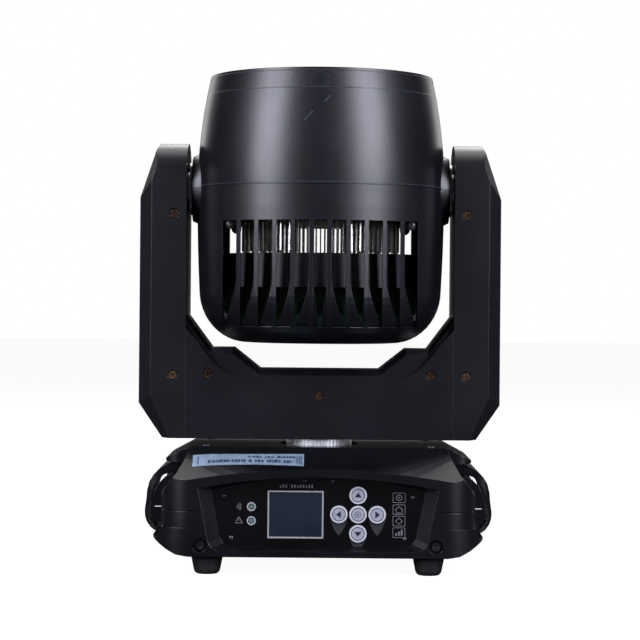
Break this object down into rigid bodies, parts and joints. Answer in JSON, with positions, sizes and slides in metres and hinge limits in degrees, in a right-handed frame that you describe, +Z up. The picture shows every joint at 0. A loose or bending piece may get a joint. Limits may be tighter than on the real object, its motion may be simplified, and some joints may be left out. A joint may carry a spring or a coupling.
{
  "type": "moving head light",
  "caption": "Free-standing moving head wash light: a base with a control panel, a yoke that pans, and a round vented head that tilts and carries a zooming lens plate.",
  "frame": {"origin": "on the floor under the pan axis, in the middle of the four feet", "axes": "+Z up along the pan axis, -Y towards the control panel, +X to the right seen from the control panel, parallel to the tilt axis at rest"},
  "size_m": [0.292, 0.2026, 0.396],
  "materials": {
    "satin_black_plastic": "satin",
    "gloss_black_plastic": "semi-gloss",
    "trim_black_plastic": "matt",
    "rubber": "matt",
    "steel": "zinc plated",
    "aluminium": "machined",
    "display": "glossy window in a light frame",
    "led": "translucent",
    "circuit_board": "lacquered",
    "painted_panel": "fine texture powder coat",
    "connector_black": "semi-gloss",
    "connector_metal": "black plated",
    "power_module": "mill",
    "button": "semi-gloss",
    "motor": "satin",
    "lens": "polished"
  },
  "bodies": {
    "base": {"base_tray": "gloss_black_plastic", "base_cover": "gloss_black_plastic", "side_handle_left": "gloss_black_plastic", "side_handle_right": "gloss_black_plastic", "rubber_feet": "rubber", "base_screws": "steel", "base_chassis": "steel", "control_fascia": "gloss_black_plastic", "lcd_module": "display", "status_leds": "led", "control_board": "circuit_board", "rear_panel": "painted_panel", "mains_inlet": "connector_black", "mains_outlet": "connector_black", "dmx_in_socket": "connector_metal", "dmx_out_socket": "connector_metal", "fuse_holder": "connector_black", "power_supply": "power_module", "driver_board": "circuit_board", "pan_ring_pulley": "aluminium", "pan_bearing": "steel", "safety_eye": "steel"},
    "yoke": {"yoke_frame": "steel", "arm_cover_left": "satin_black_plastic", "arm_cover_right": "satin_black_plastic", "arm_inner_plates": "satin_black_plastic", "crossbar_front_cover": "satin_black_plastic", "crossbar_rear_cover": "satin_black_plastic", "crossbar_liner": "satin_black_plastic", "crossbar_floor": "satin_black_plastic", "pan_spindle": "steel", "pan_motor": "motor", "tilt_motor": "motor", "pan_belt": "rubber", "tilt_belt": "rubber", "tilt_bearings": "steel", "yoke_screws": "steel"},
    "head": {"head_front_shell": "satin_black_plastic", "head_rear_shell": "satin_black_plastic", "lens_bezel": "trim_black_plastic", "heat_sink": "aluminium", "led_board": "circuit_board", "head_fan_frame": "trim_black_plastic", "head_driver_board": "circuit_board", "tilt_hub_left": "steel", "tilt_hub_right": "steel", "head_chassis": "steel", "zoom_motor": "motor", "zoom_rods": "steel"},
    "lens_carriage": {"lens_carriage": "trim_black_plastic", "front_lenses": "lens"},
    "zoom_screw": {"zoom_screw": "steel"},
    "fan_rotor": {"head_fan_rotor": "trim_black_plastic"},
    "pan_motor_pulley": {"pan_motor_pulley": "aluminium"},
    "tilt_motor_pulley": {"tilt_motor_pulley": "aluminium"},
    "button_up": {"button_up": "button"},
    "button_down": {"button_down": "button"},
    "button_left": {"button_left": "button"},
    "button_right": {"button_right": "button"},
    "button_ok": {"button_ok": "button"}
  },
  "joints": [
    {"name": "pan", "type": "hinge", "parent": "base", "child": "yoke", "pos_m": [0, 0, 0.1], "axis": [0, 0, 1], "range_deg": [-270, 270]},
    {"name": "tilt", "type": "hinge", "parent": "yoke", "child": "head", "pos_m": [0, 0, 0.305], "axis": [1, 0, 0], "range_deg": [-135, 135]},
    {"name": "zoom", "type": "slide", "parent": "head", "child": "lens_carriage", "axis": [0, 0, 1], "range_m": [0, 0.022]},
    {"name": "zoom_screw_turn", "type": "hinge", "parent": "head", "child": "zoom_screw", "pos_m": [0, 0.07, 0.32], "axis": [0, 0, 1], "range_deg": [-995, 2]},
    {"name": "head_fan_spin", "type": "hinge", "parent": "head", "child": "fan_rotor", "pos_m": [0, 0, 0.235], "axis": [0, 0, 1], "continuous": true},
    {"name": "pan_motor_turn", "type": "hinge", "parent": "yoke", "child": "pan_motor_pulley", "pos_m": [-0.062, 0, 0.111], "axis": [0, 0, 1], "range_deg": [-845, 845]},
    {"name": "tilt_motor_turn", "type": "hinge", "parent": "yoke", "child": "tilt_motor_pulley", "pos_m": [0.1275, 0, 0.146], "axis": [1, 0, 0], "range_deg": [-350, 350]},
    {"name": "button_up_press", "type": "slide", "parent": "base", "child": "button_up", "axis": [0, 1, 0], "range_m": [0, 0.0012], "stiffness_N_per_m": 600, "springref_m": -0.0008},
    {"name": "button_down_press", "type": "slide", "parent": "base", "child": "button_down", "axis": [0, 1, 0], "range_m": [0, 0.0012], "stiffness_N_per_m": 600, "springref_m": -0.0008},
    {"name": "button_left_press", "type": "slide", "parent": "base", "child": "button_left", "axis": [0, 1, 0], "range_m": [0, 0.0012], "stiffness_N_per_m": 600, "springref_m": -0.0008},
    {"name": "button_right_press", "type": "slide", "parent": "base", "child": "button_right", "axis": [0, 1, 0], "range_m": [0, 0.0012], "stiffness_N_per_m": 600, "springref_m": -0.0008},
    {"name": "button_ok_press", "type": "slide", "parent": "base", "child": "button_ok", "axis": [0, 1, 0], "range_m": [0, 0.0012], "stiffness_N_per_m": 600, "springref_m": -0.0008}
  ],
  "couplings": [
    {"joint": "pan_motor_turn", "follows": "pan", "ratio": -3.1111},
    {"joint": "tilt_motor_turn", "follows": "tilt", "ratio": 2.5556},
    {"joint": "zoom_screw_turn", "follows": "zoom", "rad_per_m": -785.4}
  ]
}
